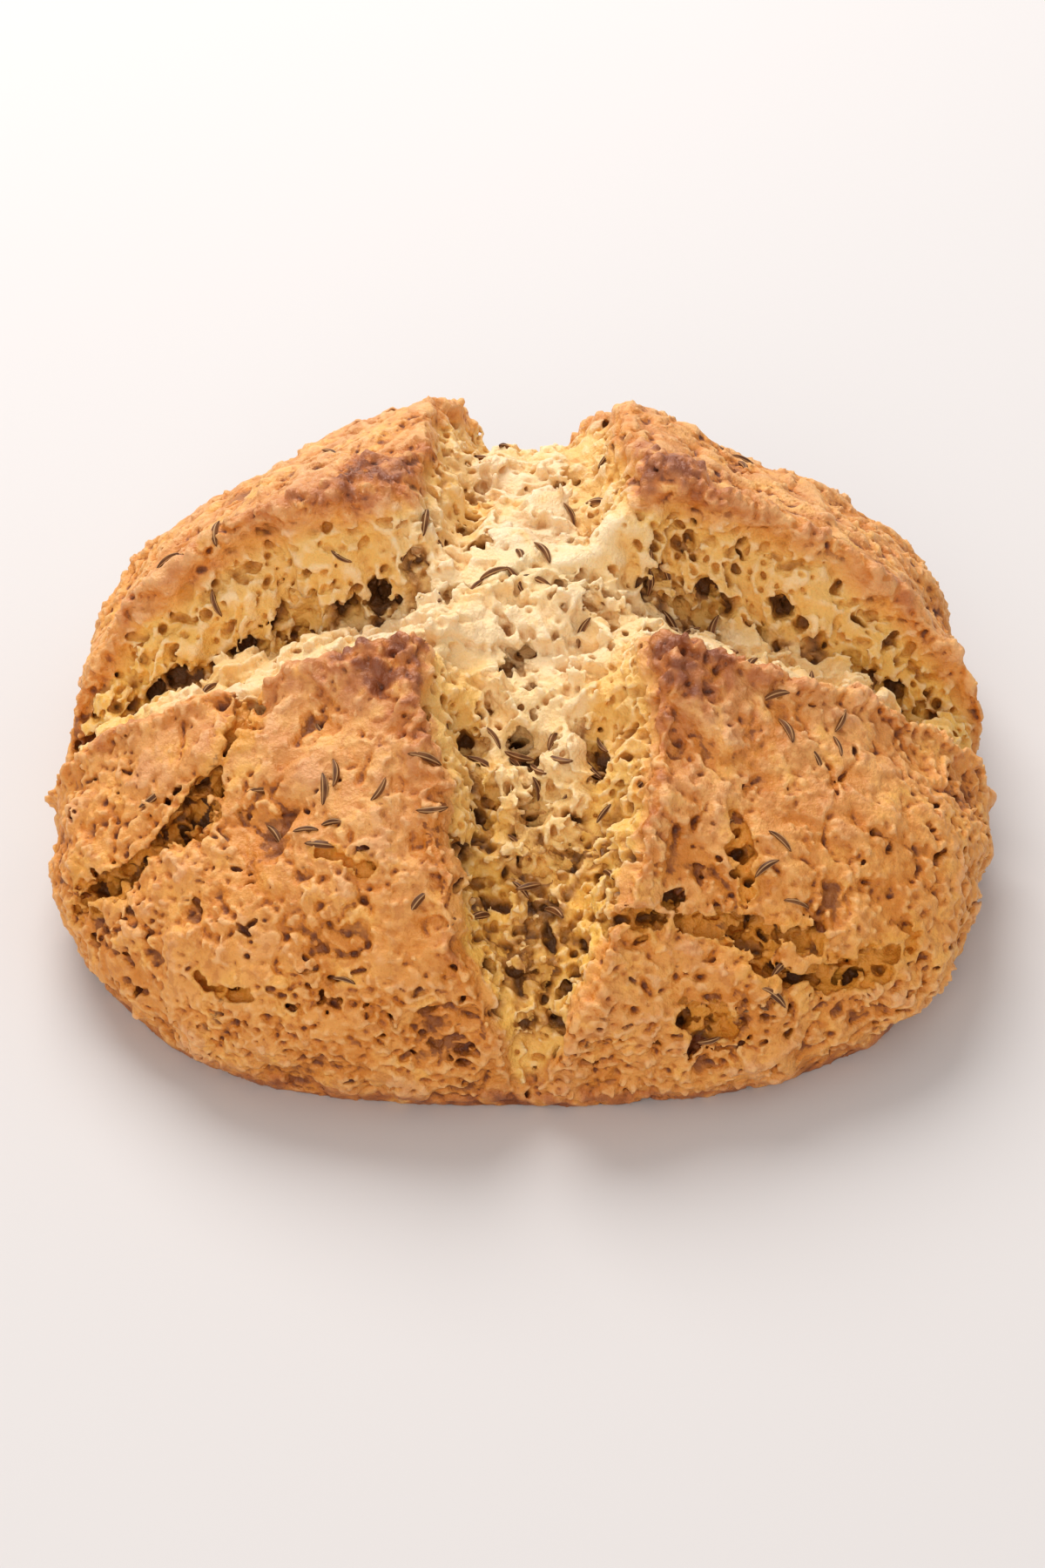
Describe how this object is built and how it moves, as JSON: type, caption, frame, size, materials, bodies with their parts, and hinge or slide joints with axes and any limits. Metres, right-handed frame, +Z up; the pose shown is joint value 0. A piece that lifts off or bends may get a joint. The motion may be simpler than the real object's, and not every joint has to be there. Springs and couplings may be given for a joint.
{
  "type": "soda bread loaf",
  "caption": "Round, domed soda bread loaf with a knobbly browned crust, its top split open by a deep cross cut that shows the pale crumb.",
  "frame": {"origin": "middle of the loaf's outline on its flat base, at the height of the surface it rests on", "axes": "+Z up through the crown; the front, where the widest arm of the cross faces, is -Y; +X is the loaf's right as seen from the front"},
  "size_m": [0.18, 0.18, 0.073],
  "materials": {
    "crust": null
  },
  "bodies": {
    "root": {"loaf": "crust"}
  },
  "joints": []
}
